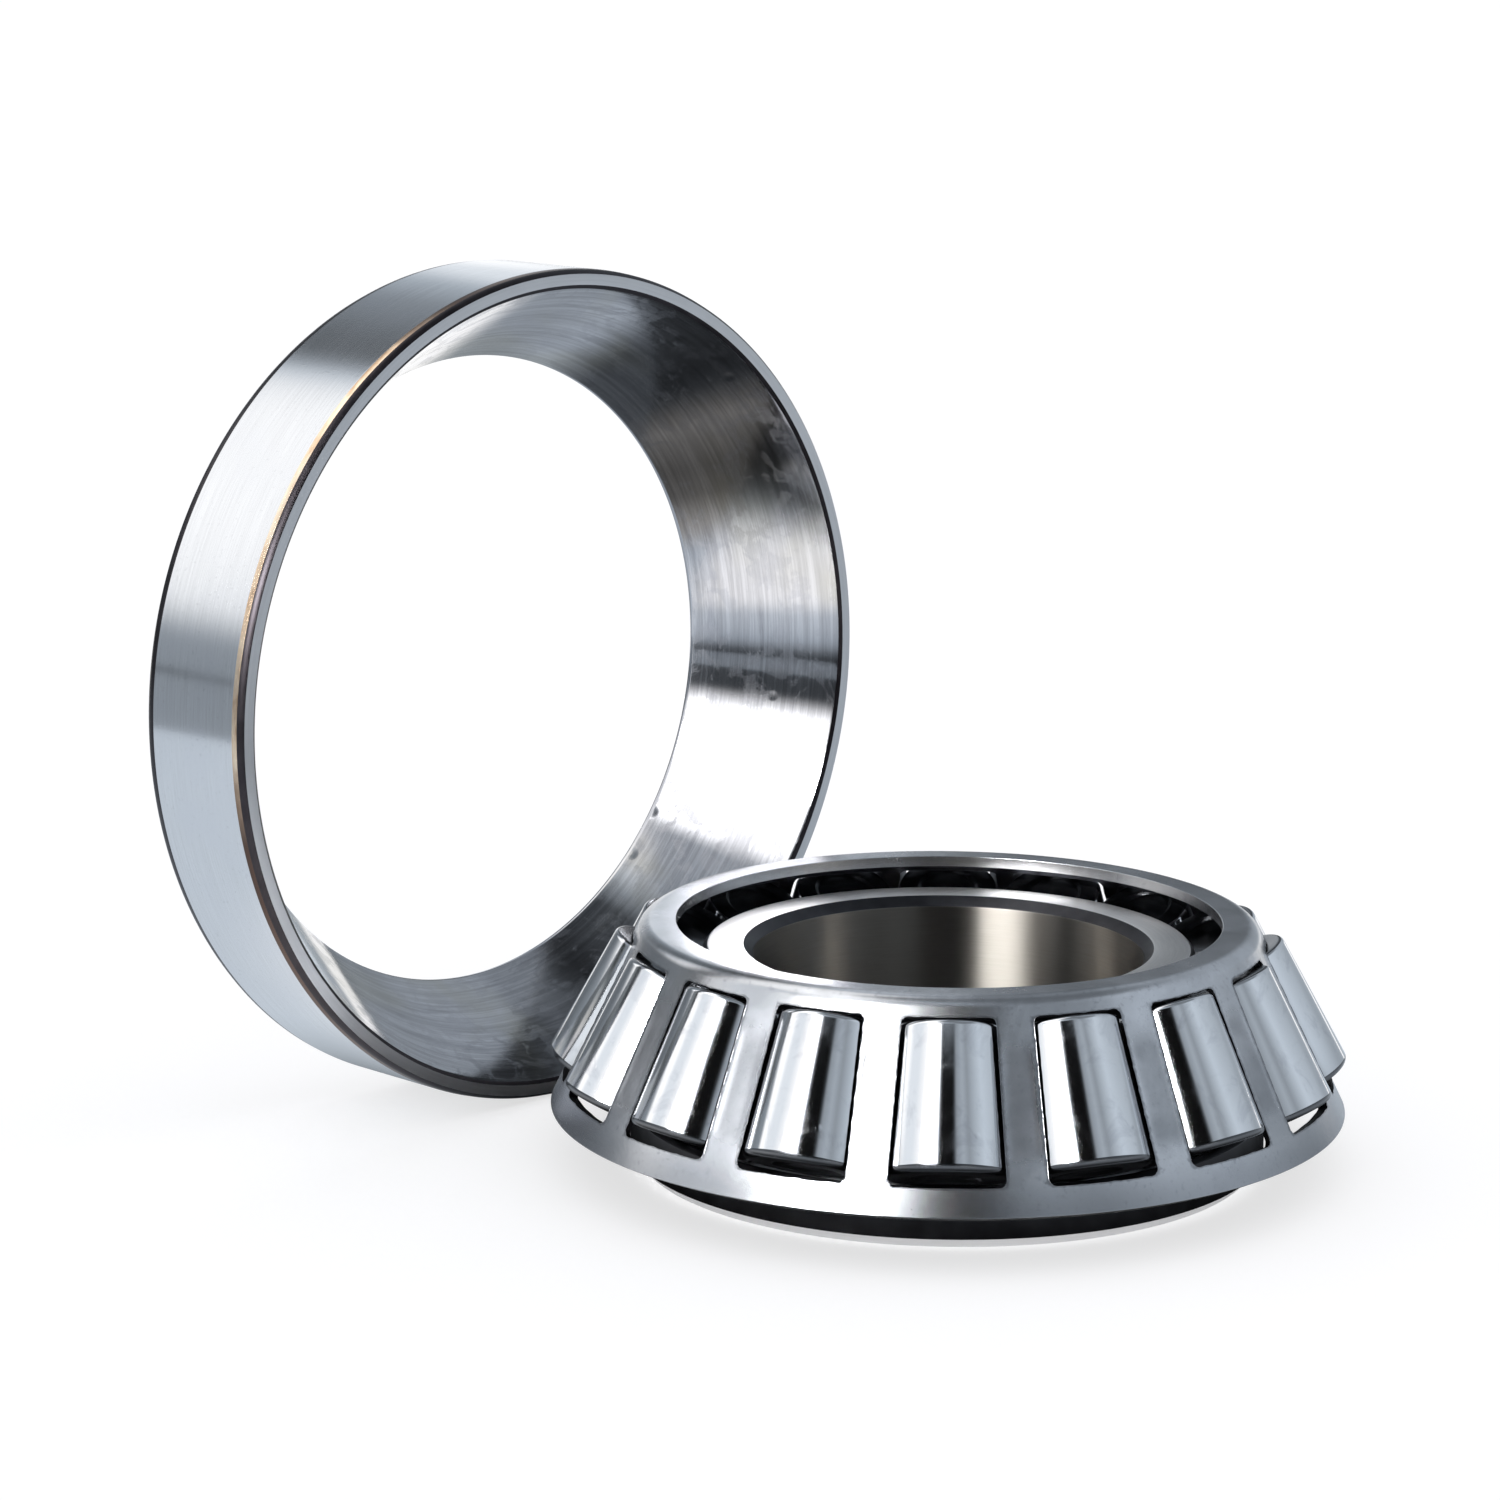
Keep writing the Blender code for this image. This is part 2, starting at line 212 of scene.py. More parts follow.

# Painted reflection: these shades glow in place of the raceway's real image of itself
# (degrees round the raceway from its top, shade) of one side of the raceway, seen in the other
PAINTED_RACEWAY_SHADES = [
    (-180, 0.32), (-168, 0.38), (-160, 0.44), (-152, 0.32), (-144, 0.20), (-136, 0.16),
    (-120, 0.19), (-104, 0.20), (-96, 0.22), (-88, 0.26), (-80, 0.34), (-72, 0.38),
    (-64, 0.35), (-56, 0.22), (-48, 0.17), (-40, 0.20), (-32, 0.26), (-16, 0.30),
    (-8, 0.59), (0, 0.82), (8, 0.93), (16, 1.0), (30, 0.95), (120, 0.84), (136, 0.79),
    (144, 0.75), (152, 0.64), (160, 0.52), (168, 0.37), (180, 0.32),
]
# Angles from the raceway's top where its painted reflection starts and ends turning warmer
RACEWAY_WARM_START = math.radians(140.0)
RACEWAY_WARM_FULL = math.radians(156.0)
RACEWAY_WARM_TINT = (1.15, 1.0, 0.85)


# ---------------------------------------------------------------------------------------------
# Node graphs
# ---------------------------------------------------------------------------------------------

class Graph:
    """Short names for building a shader node tree."""

    def __init__(self, tree):
        self.tree = tree
        tree.nodes.clear()

    def feed(self, socket, value):
        if isinstance(value, bpy.types.NodeSocket):
            self.tree.links.new(value, socket)
        elif socket.type == "RGBA" and len(value) == 3:
            socket.default_value = (*value, 1.0)
        else:
            socket.default_value = value

    def add(self, kind, inputs=None, **settings):
        node = self.tree.nodes.new(kind)
        for key, value in settings.items():
            setattr(node, key, value)
        for key, value in (inputs or {}).items():
            self.feed(node.inputs[key], value)
        return node

    def show(self, shader, kind="ShaderNodeOutputMaterial"):
        self.add(kind, {0: shader})

    def math(self, operation, *values):
        inputs = dict(enumerate(values))
        return self.add("ShaderNodeMath", inputs, operation=operation).outputs[0]

    def split(self, vector):
        """The three parts of a vector."""
        return list(self.add("ShaderNodeSeparateXYZ", {0: vector}).outputs)

    def mix(self, factor, first, second, blend="MIX"):
        node = self.add("ShaderNodeMix", data_type="RGBA", blend_type=blend)
        self.feed(node.inputs[0], factor)
        self.feed(node.inputs[6], first)
        self.feed(node.inputs[7], second)
        return node.outputs[2]

    def partly(self, factor, share, first, second):
        """Mix that reaches only this share of the second colour."""
        return self.mix(self.math("MULTIPLY", factor, share), first, second)

    def blend(self, factor, first, second):
        """Number between two numbers."""
        node = self.add("ShaderNodeMix", data_type="FLOAT")
        self.feed(node.inputs[0], factor)
        self.feed(node.inputs[2], first)
        self.feed(node.inputs[3], second)
        return node.outputs[0]

    def vary(self, noise, amount, base):
        """Base number, moved up and down by a noise."""
        return self.math("MULTIPLY_ADD", self.math("SUBTRACT", noise, 0.5), amount, base)

    def step(self, value, low, high):
        """Smooth change from 0 to 1 as value goes from low to high."""
        inputs = {"Value": value, "From Min": low, "From Max": high}
        node = self.add("ShaderNodeMapRange", inputs, interpolation_type="SMOOTHSTEP")
        return node.outputs[0]

    def between(self, value, start, full, fade, end):
        """Smooth change from 0 at start to 1 at full, and from 1 at fade to 0 at end."""
        return self.math("MULTIPLY", self.step(value, start, full), self.step(value, end, fade))

    def length(self, x, y):
        squares = [self.math("MULTIPLY", part, part) for part in (x, y)]
        return self.math("SQRT", self.math("ADD", *squares))

    def noise(self, vector, scale, detail=3.0, roughness=0.5, distortion=0.0):
        inputs = {
            "Vector": vector,
            "Scale": scale,
            "Detail": detail,
            "Roughness": roughness,
            "Distortion": distortion,
        }
        return self.add("ShaderNodeTexNoise", inputs).outputs[0]

    def place(self):
        """Place on the piece, in the piece's own axes."""
        return self.add("ShaderNodeTexCoord").outputs["Object"]

    def mirrored_twice(self):
        """1 where the surface is seen by way of two other surfaces, and 0 elsewhere."""
        depth = self.add("ShaderNodeLightPath").outputs["Ray Depth"]
        return self.math("GREATER_THAN", depth, 1.5)

    def ramp(self, factor, stops):
        """Colour ramp from (position, colour) stops; at most 32."""
        node = self.add("ShaderNodeValToRGB", {0: factor})
        elements = node.color_ramp.elements
        while len(elements) < len(stops):
            elements.new(0.5)
        for element, (position, colour) in zip(elements, stops):
            element.position = position
            element.color = (*colour, 1.0)
        return node.outputs[0]


def new_material(name):
    material = bpy.data.materials.new(name)
    material.use_nodes = True
    return material, Graph(material.node_tree)


def scaled(colour, factor):
    return tuple(factor * part for part in colour)


def seen(shade):
    """Light that polished steel shows as this screen shade; greys in this studio are bluish."""
    cool = min(1.0, max(0.0, (0.95 - shade) / 0.2))
    tint = (1.0 - 0.05 * cool, 1.0, 1.0 + 0.05 * cool)
    return tuple((shade * part) ** 2.2 / 0.75 for part in tint)


def compass(graph, share, shades):
    """Light by direction, from (degrees, shade) pairs; share 0 is at -180 degrees, 1 at 180."""
    return graph.ramp(share, [(degrees / 360.0 + 0.5, seen(shade)) for degrees, shade in shades])


def turned_vector(graph, along, across):
    """Texture place on a turned surface: slow round the piece's Z axis, fast between lines."""
    x, y, z = graph.split(graph.place())
    radius = graph.length(x, y)
    safe = graph.math("MAXIMUM", radius, 1e-5)
    side = graph.math("MULTIPLY", graph.math("DIVIDE", x, safe), along)
    front = graph.math("MULTIPLY", graph.math("DIVIDE", y, safe), along)
    line = graph.math("MULTIPLY_ADD", radius, 0.8, z)
    height = graph.math("MULTIPLY", line, across)
    return graph.add("ShaderNodeCombineXYZ", {0: side, 1: front, 2: height}).outputs[0]


def seen_from_above(graph):
    """1 for a mirrored ray that starts above 0 on the piece's Z axis, and 0 for others."""
    path = graph.add("ShaderNodeLightPath")
    here = graph.add("ShaderNodeNewGeometry")
    inputs = {0: here.outputs["Incoming"], "Scale": path.outputs["Ray Length"]}
    back = graph.add("ShaderNodeVectorMath", inputs, operation="SCALE").outputs[0]
    inputs = {0: here.outputs["Position"], 1: back}
    start = graph.add("ShaderNodeVectorMath", inputs, operation="ADD").outputs[0]
    settings = {"vector_type": "POINT", "convert_from": "WORLD", "convert_to": "OBJECT"}
    local = graph.add("ShaderNodeVectorTransform", {0: start}, **settings)
    height = graph.split(local.outputs[0])[2]
    above = graph.math("GREATER_THAN", height, 0.0)
    return graph.math("MULTIPLY", above, path.outputs["Is Glossy Ray"])


def finish_steel(
    graph, colour, roughness, height, bump, anisotropy=0.0, metallic=1.0, mirrored=None
):
    """Principled steel with its grinding lines running round the piece's Z axis.

    Where mirrored is a colour, mirrored rays from above see that colour glow: a painted reflection.
    """
    inputs = {
        "Base Color": colour,
        "Metallic": metallic,
        "Roughness": roughness,
        "Anisotropic": anisotropy,
        "Anisotropic Rotation": 0.25,
    }
    shader = graph.add("ShaderNodeBsdfPrincipled", inputs)
    if anisotropy:
        tangent = graph.add("ShaderNodeTangent", direction_type="RADIAL", axis="Z")
        graph.feed(shader.inputs["Tangent"], tangent.outputs[0])
    normal = graph.add("ShaderNodeBump", {"Height": height, "Strength": 1.0, "Distance": bump})
    graph.feed(shader.inputs["Normal"], normal.outputs[0])
    surface = shader.outputs[0]
    if mirrored is not None:
        glow = graph.add("ShaderNodeEmission", {"Color": mirrored, "Strength": 1.0})
        inputs = {0: seen_from_above(graph), 1: surface, 2: glow.outputs[0]}
        surface = graph.add("ShaderNodeMixShader", inputs).outputs[0]
    graph.show(surface)


def turned_steel(
    name, colour, roughness, bump=1.5e-7, tint=None, anisotropy=0.7, metallic=1.0, pits=0.0
):
    """Ground steel: fine lines round the axis, soft blotches, a little tint, and pits if asked."""
    material, graph = new_material(name)
    place = graph.place()
    lines = graph.noise(turned_vector(graph, 5.0, 5200.0), 1.0, detail=4.0, roughness=0.6)
    grain = graph.noise(place, 3200.0, detail=2.0)
    blotch = graph.noise(place, 60.0, detail=5.0, roughness=0.6)
    shade = graph.mix(graph.step(lines, 0.3, 0.7), scaled(colour, 0.9), colour)
    shade = graph.mix(graph.step(blotch, 0.45, 0.7), shade, tint or colour)
    rough = graph.vary(blotch, 0.08, roughness)
    rough = graph.vary(grain, 0.04, rough)
    height = graph.math("MULTIPLY_ADD", grain, 0.8, lines)
    if pits:
        speck = graph.noise(place, 1900.0, detail=3.0, roughness=0.65)
        speck = graph.step(speck, 0.58, 0.72)
        shade = graph.partly(speck, 0.3, shade, scaled(colour, 0.7))
        height = graph.math("MULTIPLY_ADD", speck, pits, height)
    finish_steel(graph, shade, rough, height, bump, anisotropy, metallic)
    return material


def raceway_steel():
    """Honed raceway, streaked with oil that was wiped on by hand."""
    clean = (0.66, 0.66, 0.69)
    between_lines = (0.44, 0.44, 0.46)
    scored_colour = (0.30, 0.30, 0.33)
    film_colour = (0.50, 0.50, 0.54)
    stain_colour = (0.46, 0.44, 0.34)
    material, graph = new_material("cup_raceway_steel")
    lines = graph.noise(turned_vector(graph, 1.6, 3400.0), 1.0, detail=5.0, roughness=0.7)
    streak = graph.noise(turned_vector(graph, 2.5, 1100.0), 1.0, detail=6.0, roughness=0.7)
    wiped = turned_vector(graph, 11.0, 560.0)
    smear = graph.noise(wiped, 1.0, detail=9.0, roughness=0.66, distortion=0.7)
    cloud = graph.noise(graph.place(), 38.0, detail=4.0, roughness=0.55, distortion=0.4)
    film = graph.step(smear, 0.52, 0.55)
    shade = graph.mix(graph.step(lines, 0.3, 0.7), between_lines, clean)
    shade = graph.partly(graph.step(streak, 0.52, 0.66), 0.45, shade, scored_colour)
    shade = graph.partly(film, 0.25, shade, film_colour)
    shade = graph.partly(graph.step(cloud, 0.5, 0.68), 0.4, shade, stain_colour)
    rough = graph.math("MULTIPLY_ADD", lines, 0.06, 0.06)
    rough = graph.math("MULTIPLY_ADD", film, 0.07, rough)
    drops = drop_height(graph, 260.0, 0.06)
    height = graph.math("MULTIPLY_ADD", drops, DROP_BUMP, lines)
    height = graph.math("MULTIPLY_ADD", film, 0.3, height)
    # Painted reflection of the raceway in itself, glowing instead of its real image
    mirrored = painted_raceway_reflection(graph)
    finish_steel(graph, shade, rough, height, 5e-7, anisotropy=0.7, mirrored=mirrored)
    return material


def painted_raceway_reflection(graph):
    """Painted reflection of one side of the raceway in the other; the piece's +Y is its top."""
    x, y, _ = graph.split(graph.place())
    turn = graph.math("ARCTAN2", x, y)
    share = graph.math("MULTIPLY_ADD", turn, 0.5 / math.pi, 0.5)
    light = compass(graph, share, PAINTED_RACEWAY_SHADES)
    # The painted reflection is warmer near the raceway's bottom
    warm_side = graph.step(graph.math("ABSOLUTE", turn), RACEWAY_WARM_START, RACEWAY_WARM_FULL)
    return graph.mix(warm_side, light, RACEWAY_WARM_TINT, blend="MULTIPLY")


def drop_height(graph, scale, share):
    """Height of small oil drops that stand on a surface, over about this share of the cells."""
    cells = graph.add("ShaderNodeTexVoronoi", {"Vector": graph.place(), "Scale": scale})
    chance = graph.split(cells.outputs["Color"])[0]
    present = graph.step(chance, 1 - share, 1 - share + 0.01)
    dome = graph.step(cells.outputs["Distance"], 0.3, 0.05)
    return graph.math("MULTIPLY", present, dome)


def bronze_steel():
    """Heat-tinted edge with a painted highlight: light peach where X is high and Y isn't low, else
    brown.
    """
    patch_colour = (0.34, 0.25, 0.19)
    deep_brown = (0.05, 0.03, 0.025)
    brown = (0.17, 0.11, 0.085)
    stops = [(0.3, (0.55, 0.36, 0.22)), (0.5, (0.86, 0.66, 0.48)), (0.7, (1.0, 0.86, 0.68))]
    material, graph = new_material("heat_tinted_edge_painted_highlight")
    streak = graph.noise(turned_vector(graph, 9.0, 500.0), 1.0, detail=4.0, roughness=0.6)
    place = graph.place()
    patch = graph.noise(place, 70.0, detail=4.0, roughness=0.6)
    x, y, _ = graph.split(place)
    # Painted highlight: the peach side stands in for light falling on that side of the edge
    highlight_x = graph.step(x, 0.3 * CUP_RADIUS, 0.55 * CUP_RADIUS)
    highlight_y = graph.step(y, -0.25 * CUP_RADIUS, 0.05 * CUP_RADIUS)
    light = graph.math("MULTIPLY", highlight_x, highlight_y)
    shade = graph.mix(graph.step(patch, 0.55, 0.72), graph.ramp(streak, stops), patch_colour)
    shade = graph.mix(light, graph.mix(patch, deep_brown, brown), shade)
    rough = graph.math("MULTIPLY_ADD", patch, 0.15, 0.18)
    finish_steel(graph, shade, rough, streak, 6e-7)
    return material


def dark_steel(name, colour, roughness):
    """Unground or blackened steel with a fine patchy grain, also used as painted shade."""
    material, graph = new_material(name)
    patch = graph.noise(graph.place(), 400.0, detail=4.0)
    rough = graph.math("MULTIPLY_ADD", patch, 0.2, roughness - 0.1)
    shade = graph.mix(patch, scaled(colour, 0.6), scaled(colour, 1.4))
    finish_steel(graph, shade, rough, patch, 2e-6)
    return material


def cage_steel():
    """Pressed sheet, tumbled to a satin finish with soft mottling.

    The coined bars and the windows' borders are darker; the foot has painted shade.
    """
    light = (0.66, 0.67, 0.70)
    dull = (0.54, 0.55, 0.57)
    smudge_colour = (0.34, 0.35, 0.37)
    speck_colour = (0.30, 0.31, 0.34)
    painted_foot_shade = (0.26, 0.27, 0.29)
    coin_colour = (0.28, 0.29, 0.31)
    border_colour = (0.20, 0.205, 0.22)
    painted_reflection_shade = (0.12, 0.12, 0.13)
    material, graph = new_material("cage_sheet_steel")
    place = graph.place()
    cloud = graph.noise(place, 95.0, detail=6.0, roughness=0.6)
    smudge = graph.noise(place, 34.0, detail=5.0, roughness=0.62, distortion=0.4)
    grain = graph.noise(place, 1700.0, detail=3.0, roughness=0.6)
    dent = graph.noise(place, 420.0, detail=2.0)
    coined = graph.add("ShaderNodeAttribute", attribute_name="coined").outputs["Fac"]
    border = graph.add("ShaderNodeAttribute", attribute_name="border").outputs["Fac"]
    shade = graph.mix(graph.step(cloud, 0.35, 0.65), dull, light)
    shade = graph.partly(graph.step(smudge, 0.52, 0.66), 0.5, shade, smudge_colour)
    shade = graph.partly(graph.step(grain, 0.56, 0.72), 0.35, shade, speck_colour)
    # Painted shade: the sheet darkens towards its foot, with a cloudy edge
    foot_shade_height = graph.math("MULTIPLY_ADD", cloud, -0.004, graph.split(place)[2])
    shade = graph.partly(graph.step(foot_shade_height, 0.009, 0.0045), 0.6, shade, painted_foot_shade)
    # The coined hollows are darker and mottled
    coined_dark = graph.math("MULTIPLY", coined, graph.blend(graph.step(cloud, 0.3, 0.7), 0.7, 0.3))
    shade = graph.mix(coined_dark, shade, coin_colour)
    border = graph.math("MULTIPLY_ADD", grain, 0.9, graph.math("SUBTRACT", border, 0.9))
    shade = graph.partly(graph.step(border, -0.1, 0.5), 0.75, shade, border_colour)
    # Painted shade: seen by way of two other surfaces, the sheet shows nearly black
    shade = graph.mix(graph.mirrored_twice(), shade, painted_reflection_shade)
    rough = graph.vary(cloud, 0.12, 0.22)
    rough = graph.math("MULTIPLY_ADD", grain, 0.06, rough)
    rough = graph.math("MULTIPLY_ADD", coined, 0.08, rough)
    height = graph.math("MULTIPLY_ADD", dent, 8.0, grain)
    height = graph.math("MULTIPLY_ADD", cloud, 45.0, height)
    finish_steel(graph, shade, rough, height, 1.2e-6)
    return material


def roller_steel():
    """Superfinished roller with faint rolling lines, a thin oil film and a few drops."""
    clean = (0.80, 0.81, 0.83)
    film_colour = (0.70, 0.71, 0.74)
    painted_reflection_shade = (0.14, 0.14, 0.15)
    material, graph = new_material("roller_mirror_steel")
    lines = graph.noise(turned_vector(graph, 3.0, 4200.0), 1.0, detail=3.0)
    stain = graph.noise(graph.place(), 260.0, detail=5.0, roughness=0.65, distortion=0.8)
    film = graph.step(stain, 0.5, 0.7)
    shade = graph.mix(film, clean, film_colour)
    # Painted shade: seen by way of two other surfaces, the roller shows nearly black
    shade = graph.mix(graph.mirrored_twice(), shade, painted_reflection_shade)
    rough = graph.math("MULTIPLY_ADD", film, 0.07, 0.1)
    drops = drop_height(graph, 620.0, 0.025)
    height = graph.math("MULTIPLY_ADD", drops, DROP_BUMP, lines)
    finish_steel(graph, shade, rough, height, 2.5e-7, anisotropy=0.2)
    return material


# ---------------------------------------------------------------------------------------------
# Meshes
# ---------------------------------------------------------------------------------------------

def rounded(corners, arc_step=math.radians(15.0)):
    """Outline from (radius, height, rounding, finish) corners.

    A finish covers the stretch from its corner to the next one.
    """
    outline = []
    for index, (radius, height, rounding, finish) in enumerate(corners):
        corner = Vector((radius, height))
        if rounding == 0.0:
            outline.append((radius, height, finish))
            continue
        earlier = corners[index - 1]
        later = corners[(index + 1) % len(corners)]
        before = (Vector(earlier[:2]) - corner).normalized()
        after = (Vector(later[:2]) - corner).normalized()
        half = before.angle(after) / 2
        reach = rounding / math.tan(half)
        centre = corner + (before + after).normalized() * rounding / math.sin(half)
        first = corner + before * reach - centre
        last = corner + after * reach - centre
        start = math.atan2(first.y, first.x)
        turn = math.remainder(math.atan2(last.y, last.x) - start, 2 * math.pi)
        steps = max(2, math.ceil(abs(turn) / arc_step))
        for step in range(steps + 1):
            angle = start + turn * step / steps
            point = centre + Vector((math.cos(angle), math.sin(angle))) * rounding
            outline.append((point.x, point.y, finish if step * 2 >= steps else earlier[3]))
    return outline


def lathe(name, outline, steps, materials, closed=True):
    """Mesh turned about Z from an outline that runs down the outer side first."""
    finishes = list(materials)
    count = len(outline)
    angles = [2 * math.pi * step / steps for step in range(steps)]
    vertices = []
    rings = []
    for radius, height, _ in outline:
        if radius < 1e-7:
            rings.append([len(vertices)] * steps)
            vertices.append((0.0, 0.0, height))
            continue
        rings.append(list(range(len(vertices), len(vertices) + steps)))
        vertices.extend((radius * math.cos(a), radius * math.sin(a), height) for a in angles)
    faces = []
    slots = []
    for index in range(count if closed else count - 1):
        upper = rings[index]
        lower = rings[(index + 1) % count]
        for step in range(steps):
            after = (step + 1) % steps
            corners = [upper[step], lower[step], lower[after], upper[after]]
            face = list(dict.fromkeys(corners))
            faces.append(face)
            slots.append(finishes.index(outline[index][2]))
    mesh = bpy.data.meshes.new(name)
    mesh.from_pydata(vertices, [], faces)
    for finish in finishes:
        mesh.materials.append(materials[finish])
    mesh.polygons.foreach_set("material_index", slots)
    smooth(mesh)
    return mesh


def smooth(mesh, angle=math.radians(32.0)):
    """Smooth shading with a crease at every edge sharper than this angle."""
    mesh.shade_smooth()
    mesh.set_sharp_from_angle(angle=angle)
    mesh.update()


def put(name, mesh, matrix, body):
    """Shows a mesh as the piece that stands for the CAD node of its body."""
    piece = bpy.data.objects.new(name, mesh)
    bpy.context.scene.collection.objects.link(piece)
    piece.matrix_world = matrix
    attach(piece, body)
    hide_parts(body)
    return piece


def roller_point(distance, outward):
    """Section point this far from the apex along a roller's axis, and this far outward from it."""
    radius = distance * math.sin(ROLLER_TILT) + outward * math.cos(ROLLER_TILT)
    height = APEX_HEIGHT - distance * math.cos(ROLLER_TILT) + outward * math.sin(ROLLER_TILT)
    return radius, height


def roller_point_at_radius(distance, radius):
    """Section point this far from the apex along a roller's axis, at this radius of the bearing."""
    outward = (radius - distance * math.sin(ROLLER_TILT)) / math.cos(ROLLER_TILT)
    return roller_point(distance, outward)


def cone_raceway_point(distance, depth=0.0):
    """Section point on the cone's raceway, or this deep under it."""
    return roller_point(distance, -distance * math.tan(ROLLER_HALF_ANGLE) - RACEWAY_GAP - depth)


def cup_raceway_radius(height):
    """Radius of the cup's raceway at this height over its front face."""
    seat = APEX_HEIGHT - (CUP_SEAT_HEIGHT + height)
    return seat * math.tan(CUP_HALF_ANGLE) + RACEWAY_GAP / math.cos(CUP_HALF_ANGLE)


# ---------------------------------------------------------------------------------------------
# Cup
# ---------------------------------------------------------------------------------------------

def build_cup():
    front_chamfer = 0.9 * MM
    back_round = 2.4 * MM
    edge_break = 0.42 * MM
    break_angle = math.radians(50.0)
    break_height = edge_break * math.sin(break_angle)
    straight_start = 0.6 * MM
    straight_end = CUP_WIDTH - 0.9 * MM
    mouth_edge = cup_raceway_radius(0.0) + edge_break * math.cos(break_angle)
    corner_round = 0.05 * MM
    inner_round = 0.6 * MM
    # (inward, up from the front face, finish) of the worn front edge, in front chamfers
    front_edge = [
        (0.0, 2.0, "outside"),
        (0.0, 1.75, "bronze"),
        (0.09, 0.90, "dark"),
        (0.27, 0.36, "dark"),
        (0.62, 0.0, "face"),
    ]
    materials = {
        "outside": turned_steel(
            "cup_ground_outside", (0.75, 0.76, 0.78), 0.15, tint=(0.70, 0.71, 0.74), pits=12.0
        ),
        "face": turned_steel("cup_ground_face", (0.58, 0.59, 0.61), 0.38, anisotropy=0.2),
        "bronze": bronze_steel(),
        "dark": dark_steel("cup_dark_edge", (0.045, 0.04, 0.045), 0.35),
        "scale": dark_steel("cup_back_scale", (0.16, 0.15, 0.15), 0.4),
        "raceway": raceway_steel(),
    }
    outline = rounded([
        (CUP_RADIUS - back_round, CUP_WIDTH, 0.0, "scale"),
        (CUP_RADIUS, CUP_WIDTH, 0.98 * back_round, "dark"),
        (CUP_RADIUS, CUP_WIDTH - back_round, 0.0, "outside"),
        *(
            (CUP_RADIUS - inward * front_chamfer, up * front_chamfer, 0.0, finish)
            for inward, up, finish in front_edge
        ),
        (mouth_edge, 0.0, corner_round, "dark"),
        (cup_raceway_radius(break_height), break_height, corner_round, "raceway"),
        (cup_raceway_radius(straight_start), straight_start, 0.0, "raceway"),
        (cup_raceway_radius(straight_end), straight_end, 0.0, "raceway"),
        (cup_raceway_radius(CUP_WIDTH), CUP_WIDTH, inner_round, "face"),
    ])
    mesh = lathe("cup_turned", outline, RING_STEPS, materials)
    up = Vector((0.0, 0.0, 1.0))
    turn = Matrix((up.cross(-CUP_AXIS), up, -CUP_AXIS)).transposed().to_4x4()
    put("cup_ring", mesh, Matrix.Translation(CUP_PLACE) @ turn, "cup")


# ---------------------------------------------------------------------------------------------
# Cone
# ---------------------------------------------------------------------------------------------

def build_cone():
    end_gap = 0.3 * MM
    relief = 0.35 * MM
    relief_length = 1.0 * MM
    rib_chamfer = 0.5 * MM
    foot_chamfer = 1.2 * MM
    bore_chamfer = 1.1 * MM
    rib_land = 0.5 * MM
    rib_drop = 0.6 * MM
    groove_round = 0.15 * MM
    edge_round = 0.2 * MM
    shoulder_round = 0.25 * MM
    corner_round = 0.3 * MM
    small_face = SMALL_END - end_gap
    large_face = LARGE_END + end_gap
    shoulder = roller_point_at_radius(large_face, RIB_RADIUS - rib_land)
    materials = {
        "face": turned_steel("cone_ground_face", (0.84, 0.82, 0.80), 0.3, anisotropy=0.2),
        "raceway": turned_steel("cone_raceway", (0.62, 0.63, 0.65), 0.16),
        "bore": turned_steel(
            "cone_ground_bore", (0.29, 0.27, 0.245), 0.36, bump=3e-7, anisotropy=1.0
        ),
        # Painted reflection: the foot chamfer is pale and barely metallic, as if it mirrored the
        # white table
        "foot": turned_steel(
            "cone_foot_painted_pale", (0.95, 0.95, 0.96), 0.45, anisotropy=0.2, metallic=0.25
        ),
        "edge": turned_steel("cone_edges", (0.30, 0.31, 0.33), 0.3),
        # Painted shade: near-black steel on the rib's outside, beside it and on the bore's chamfers
        "rib": dark_steel("cone_painted_shade", (0.05, 0.05, 0.055), 0.35),
    }
    outline = rounded([
        (SMALL_RIB_RADIUS - rib_chamfer, CONE_WIDTH, edge_round, "edge"),
        (SMALL_RIB_RADIUS, CONE_WIDTH - rib_chamfer, edge_round, "rib"),
        (*roller_point_at_radius(small_face, SMALL_RIB_RADIUS), groove_round, "rib"),
        (*cone_raceway_point(small_face, relief), groove_round, "edge"),
        (*cone_raceway_point(small_face + relief_length, relief), 0.0, "edge"),
        (*cone_raceway_point(small_face + relief_length), 0.0, "raceway"),
        (*cone_raceway_point(large_face - relief_length), 0.0, "edge"),
        (*cone_raceway_point(large_face - relief_length, relief), 0.0, "edge"),
        (*cone_raceway_point(large_face, relief), groove_round, "raceway"),
        (*shoulder, shoulder_round, "rib"),
        (RIB_RADIUS, shoulder[1] - rib_drop, corner_round, "rib"),
        (RIB_RADIUS, foot_chamfer, 0.0, "foot"),
        (RIB_RADIUS - foot_chamfer, 0.0, edge_round, "face"),
        (BORE_RADIUS + bore_chamfer, 0.0, edge_round, "rib"),
        (BORE_RADIUS, bore_chamfer, corner_round, "bore"),
        (BORE_RADIUS, CONE_WIDTH - bore_chamfer, corner_round, "rib"),
        (BORE_RADIUS + bore_chamfer, CONE_WIDTH, edge_round, "face"),
    ])
    mesh = lathe("cone_turned", outline, RING_STEPS, materials)
    place = Matrix.Translation(Vector((AXIS.x, AXIS.y, CONE_LOW.z)))
    put("cone_ring", mesh, place, "cone")


# ---------------------------------------------------------------------------------------------
# Rollers
# ---------------------------------------------------------------------------------------------

